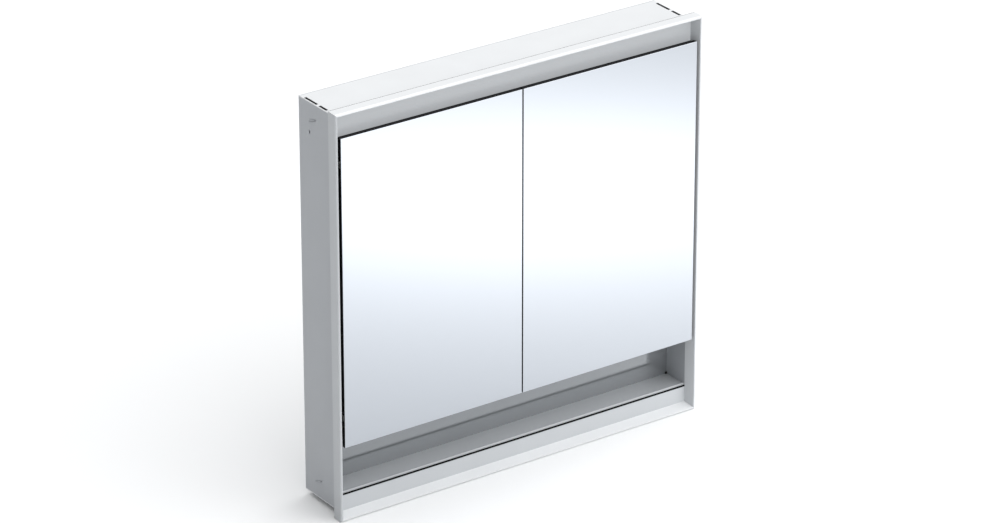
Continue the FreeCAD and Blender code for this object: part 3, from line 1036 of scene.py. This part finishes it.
@dataclass
class Case:
    """A moulded case with a lid that sits in a groove, and a row of slots in the lid where it has them."""

    node: str
    slot: str
    finish: Finish
    corner: float = 3.0 * MM
    lid_rim: float = 1.6 * MM
    groove: float = 0.5 * MM
    groove_depth: float = 0.8 * MM
    vents: int = 0
    vent_pitch: float = 5.0 * MM
    vent_width: float = 1.6 * MM
    vent_margin: float = 9.0 * MM

    def build(self) -> None:
        """Make the case and its lid."""
        low, high = corners(self.node)
        case = Bench.block(f"{self.node}_moulded", low, high)
        case.edges(lambda middle, way: abs(way.z) > NEAR_WAY).chamfer(self.corner, 4)
        case.facing(UPWARD).inset(self.lid_rim).extrude(DOWNWARD * self.groove_depth)
        case.inset(self.groove).extrude(UPWARD * self.groove_depth).done()
        if self.vents:
            start_x = (low.x + high.x - self.vent_pitch * (self.vents - 1) - self.vent_width) / 2
            start = Vector((start_x, low.y + self.vent_margin, high.z - self.groove_depth))
            end = Vector((start_x + self.vent_width, high.y - self.vent_margin, high.z + self.groove_depth))
            vents = Bench.block("vents", start, end).repeated(self.vents, RIGHTWARD * self.vent_pitch)
            case.cut(vents)
        case.coated(self.finish).fitted(Body.CABINET, self.slot, self.node)


@dataclass
class LightBand:
    """The light band over the doors: its opal cover with a painted glow, the board behind it and the parts
    that feed it.
    """

    cover_rounding: float = 0.4 * MM
    band_shade_height: float = 4.2 * MM
    band_shade_step: float = 0.8 * MM

    def build(self) -> None:
        """Make the cover, the black strip of painted shade under it, the board and the two cases, and dress
        the reflector.
        """
        low, high = corners("light_diffuser")
        foot = low + UPWARD * self.band_shade_height
        cover = Bench.block("light_cover", foot, high).rounded(self.cover_rounding, 2).coated(OPAL_PAINTED_GLOW)
        cover.fitted(Body.CABINET, "opal_plastic", "light_diffuser")
        # Under the cover, a black strip as painted shade for the dark gap over the doors.
        front = low + FORWARD * self.band_shade_step
        band_shade = Bench.block("light_cover_painted_shade", front, Vector((high.x, high.y, foot.z)))
        band_shade.rounded(self.cover_rounding, 2).coated(EPDM_AND_PAINTED_SHADE).fitted(Body.CABINET, "black_seal")
        LightBoard("led_board", FORWARD).build()
        Case("led_driver", "driver_plastic", WHITE_ABS, vents=16).build()
        Case("terminal_box", "terminal_plastic", GREY_ABS).build()
        dress(SHEET_LEVEL_PAINTED_LIGHT, "light_reflector")
        dress(EPDM_AND_PAINTED_SHADE, "cable_grommet")


@dataclass
class Niche:
    """The open niche under the doors."""

    seal_rounding: float = 0.7 * MM
    clip_rounding: float = 0.7 * MM
    clip_width: float = 5.0 * MM
    bead_depth: float = 5.0 * MM
    bead_height: float = 2.6 * MM
    bead_rounding: float = 0.5 * MM
    cover_rounding: float = 0.8 * MM
    ring: float = 1.4 * MM
    ring_depth: float = 0.5 * MM
    button_rounding: float = 0.3 * MM
    ring_wall: float = 1.4 * MM / 3
    pad_rise_share: float = 0.8
    pad_share: float = 0.6

    def build(self) -> None:
        """Make the seal, clips, light and switch, and dress the sheets."""
        low, high = corners("niche_floor_seal")
        seal = Bench.block("niche_floor_seal_strip", low, high).rounded(self.seal_rounding, 3).coated(EPDM_AND_PAINTED_SHADE)
        seal.fitted(Body.CABINET, "black_seal", "niche_floor_seal")
        self.clips().fitted(Body.CABINET, "black_seal", "niche_corner_clips")
        self.bead().fitted(Body.CABINET, "niche_aluminium")
        low, high = corners("niche_light_diffuser")
        # The niche light's cover has the same painted glow.
        cover = Bench.block("niche_light_cover", low, high).rounded(self.cover_rounding, 3).coated(OPAL_PAINTED_GLOW)
        cover.fitted(Body.CABINET, "opal_plastic", "niche_light_diffuser")
        LightBoard("niche_led_strip", DOWNWARD, pitch=12.0 * MM).build()
        self.switch().fitted(Body.CABINET, "switch_plastic", "touch_switch")
        dress(NICHE_SHEET, "niche_front_lip", "niche_floor", "niche_ceiling", "cabinet_floor_nosing")
        dress(BRIGHT_SHEET, "niche_back_panel")

    def bead(self) -> Bench:
        """Make the low bead on the floor's front edge; its rear faces are black as painted shade, which the
        niche's back mirrors.

        Returns:
            The bead.
        """
        low, high = corners("niche_floor")
        rear = Vector((high.x, low.y + self.bead_depth, high.z + self.bead_height))
        bead = Bench.block("niche_floor_bead", Vector((low.x, low.y, high.z)), rear)
        bead.rounded(self.bead_rounding, 2).coated(NICHE_SHEET)
        # The bead's rear faces get the black rubber finish as painted shade.
        return bead.coated(EPDM_AND_PAINTED_SHADE, lambda spot, way: way.y > HALF_WAY)

    def clips(self) -> Bench:
        """Make one rounded corner clip and its copy.

        Returns:
            Both clips in one piece.
        """
        low, high = corners("niche_corner_clips")
        end = Vector((low.x + self.clip_width, high.y, high.z))
        clip = Bench.block("niche_corner_clips_soft", low, end)
        clip.rounded(self.clip_rounding, 3).coated(EPDM_AND_PAINTED_SHADE)
        across = RIGHTWARD * (high.x - low.x - self.clip_width)
        return clip.join([clip.copied("niche_corner_clip_right", across)])

    def switch(self) -> Bench:
        """Make the touch switch: a low disc with a ring round its pad, under the niche's ceiling.

        Returns:
            The switch.
        """
        low, high = corners("touch_switch")
        centre = (low + high) / 2
        radius = (high.x - low.x) / 2
        button = Bench.disc("touch_switch_button", centre, radius, high.z - low.z, sides=48)
        button.facing(DOWNWARD).inset(self.ring).extrude(UPWARD * self.ring_depth)
        button.inset(self.ring_wall)
        button.extrude(DOWNWARD * (self.ring_depth * self.pad_rise_share)).done()
        button.rounded(self.button_rounding, 2).coated(BLACK_ABS)
        reach = (radius - 2 * self.ring) * self.pad_share
        button.coated(GREY_ABS, lambda spot, way: way.z < -NEAR_WAY and (spot - centre).xy.length < reach)
        return button


@dataclass
class ShelfRack:
    """The glass shelves and the pins under them."""

    polish: float = 0.8 * MM
    tiers: int = 3
    stud_radius: float = 2.4 * MM
    stud_length: float = 4.0 * MM
    head: tuple[float, float, float] = (8.0 * MM, 10.0 * MM, 5.0 * MM)
    head_rounding: float = 1.2 * MM

    def build(self) -> None:
        """Make a shelf for each side, its copies above, and the pins."""
        for side in Side:
            name = f"glass_shelf_{side.word}_"
            low, high = corners(name + "1")
            first = Bench.block(f"{name}1_polished", low, high).rounded(self.polish, 3).coated(CLEAR_GLASS)
            for tier in range(2, self.tiers + 1):
                rise = corners(f"{name}{tier}")[0] - low
                copy = first.copied(f"{name}{tier}_polished", rise)
                copy.fitted(Body.CABINET, "shelf_glass", f"{name}{tier}")
            first.fitted(Body.CABINET, "shelf_glass", f"{name}1")
        self.pins().fitted(Body.CABINET, "hinge_steel", "shelf_pins")

    def pins(self) -> Bench:
        """Make one pin at the origin, its head right of the wall and under the shelf, and all its copies.

        Returns:
            All the pins in one piece.
        """
        length, width, height = self.head
        foot = Vector((0.0, -width / 2, -height))
        model = Bench.block("shelf_pins_rounded", foot, Vector((length, width / 2, 0.0)))
        model.edges(lambda middle, way: middle.x > length / 2 and middle.z < 0.0 and abs(way.x) < HALF_WAY)
        model.chamfer(self.head_rounding, 3).done()
        stud_middle = UPWARD * (self.stud_length / 2)
        stud = Bench.disc("stud", stud_middle, self.stud_radius, self.stud_length, sides=20)
        stud.aimed(LEFTWARD, DOWNWARD * (height / 2))
        model.join([stud]).coated(NICKEL)
        low, high = corners("shelf_pins")
        walls = ((corners("centre_partition")[1].x, False), (corners("side_liner_left")[1].x, False),
                 (corners("centre_partition")[0].x, True), (corners("side_liner_right")[0].x, True))
        copies = []
        for tier in range(1, self.tiers + 1):
            under = corners(f"glass_shelf_left_{tier}")[0].z
            for depth in (low.y + width / 2, high.y - width / 2):
                for wall, turned in walls:
                    place = Vector((wall, depth, under))
                    copies.append(model.copied(f"shelf_pin_{len(copies)}", place, turned))
        bpy.data.objects.remove(model.piece)
        return copies[0].join(copies[1:])


@dataclass
class Cabinet:
    """The trim frame, the sheet body and the lining of the compartments."""

    arris: float = 0.6 * MM
    plug_sink: float = 0.3 * MM
    slot_width: float = 6.0 * MM
    slot_depths: tuple[tuple[float, float], ...] = ((54.0 * MM, 82.0 * MM), (90.0 * MM, 134.0 * MM))
    tape_thickness: float = 1.2 * MM
    tape_height: float = 9.0 * MM

    def build(self) -> None:
        """Dress the frame and the sheets, fill the roof's slots and the joint behind the top rail with
        black strips of painted shade, and make the mirror at the back.
        """
        self.roof_slot_shade().fitted(Body.CABINET, "black_seal")
        self.tape().fitted(Body.CABINET, "black_seal")
        # The rails get the lighter copy with painted light, the stiles the darker copy with painted shade.
        dress(FRAME_LEVEL_PAINTED_LIGHT, "frame_top_rail", "frame_bottom_rail")
        dress(FRAME_UPRIGHT_PAINTED_SHADE, "frame_stile_left", "frame_stile_right")
        dress(ZINC, "frame_corner_keys")
        # Level sheets get the lighter copy with painted light; the upright sheets on the next line get the
        # darker copy with painted shade.
        dress(SHEET_LEVEL_PAINTED_LIGHT, "roof_panel", "base_panel", "cabinet_floor", "cabinet_ceiling")
        dress(SHEET_UPRIGHT_PAINTED_SHADE, "side_panel_left", "side_panel_right", "back_panel", "cabinet_back_lining",
              "centre_partition", "side_liner_left", "side_liner_right")
        mirror = mirror_plate("cabinet_back_mirror", FORWARD, self.arris)
        mirror.fitted(Body.CABINET, "mirror_glass", "cabinet_back_mirror")

    def roof_slot_shade(self) -> Bench:
        """Make black strips that fill the roof's slots to just under its top: painted shade for the dark
        slots.

        Returns:
            The four strips in one piece.
        """
        low, high = corners("roof_panel")
        wall = corners("side_liner_right")[1].x
        strips = []
        for side in Side:
            ends = sorted((side.value * wall, side.value * (wall - self.slot_width)))
            for front, back in self.slot_depths:
                start = Vector((ends[0], FRONT_Y + front, low.z))
                end = Vector((ends[1], FRONT_Y + back, high.z - self.plug_sink))
                strips.append(Bench.block("roof_slot_painted_shade", start, end).rounded(self.plug_sink, 2))
        return strips[0].join(strips[1:]).coated(EPDM_AND_PAINTED_SHADE)

    def tape(self) -> Bench:
        """Make a thin black strip behind the top rail, level with its top: painted shade along the joint of
        rail and roof.

        Returns:
            The strip.
        """
        low, high = corners("frame_top_rail")
        start = Vector((low.x + self.tape_thickness, high.y, high.z - self.tape_height))
        end = Vector((high.x - self.tape_thickness, high.y + self.tape_thickness, high.z))
        tape = Bench.block("top_rail_painted_shade", start, end).rounded(self.tape_thickness / 4, 2)
        return tape.coated(EPDM_AND_PAINTED_SHADE)


def main() -> None:
    """Build the parts in order."""
    Studio().build()
    Cabinet().build()
    Niche().build()
    LightBand().build()
    ShelfRack().build()
    BodyHinges().build()
    Catches().build()
    for side in Side:
        MirrorDoor(side).build()


if __name__ == "__main__":
    main()
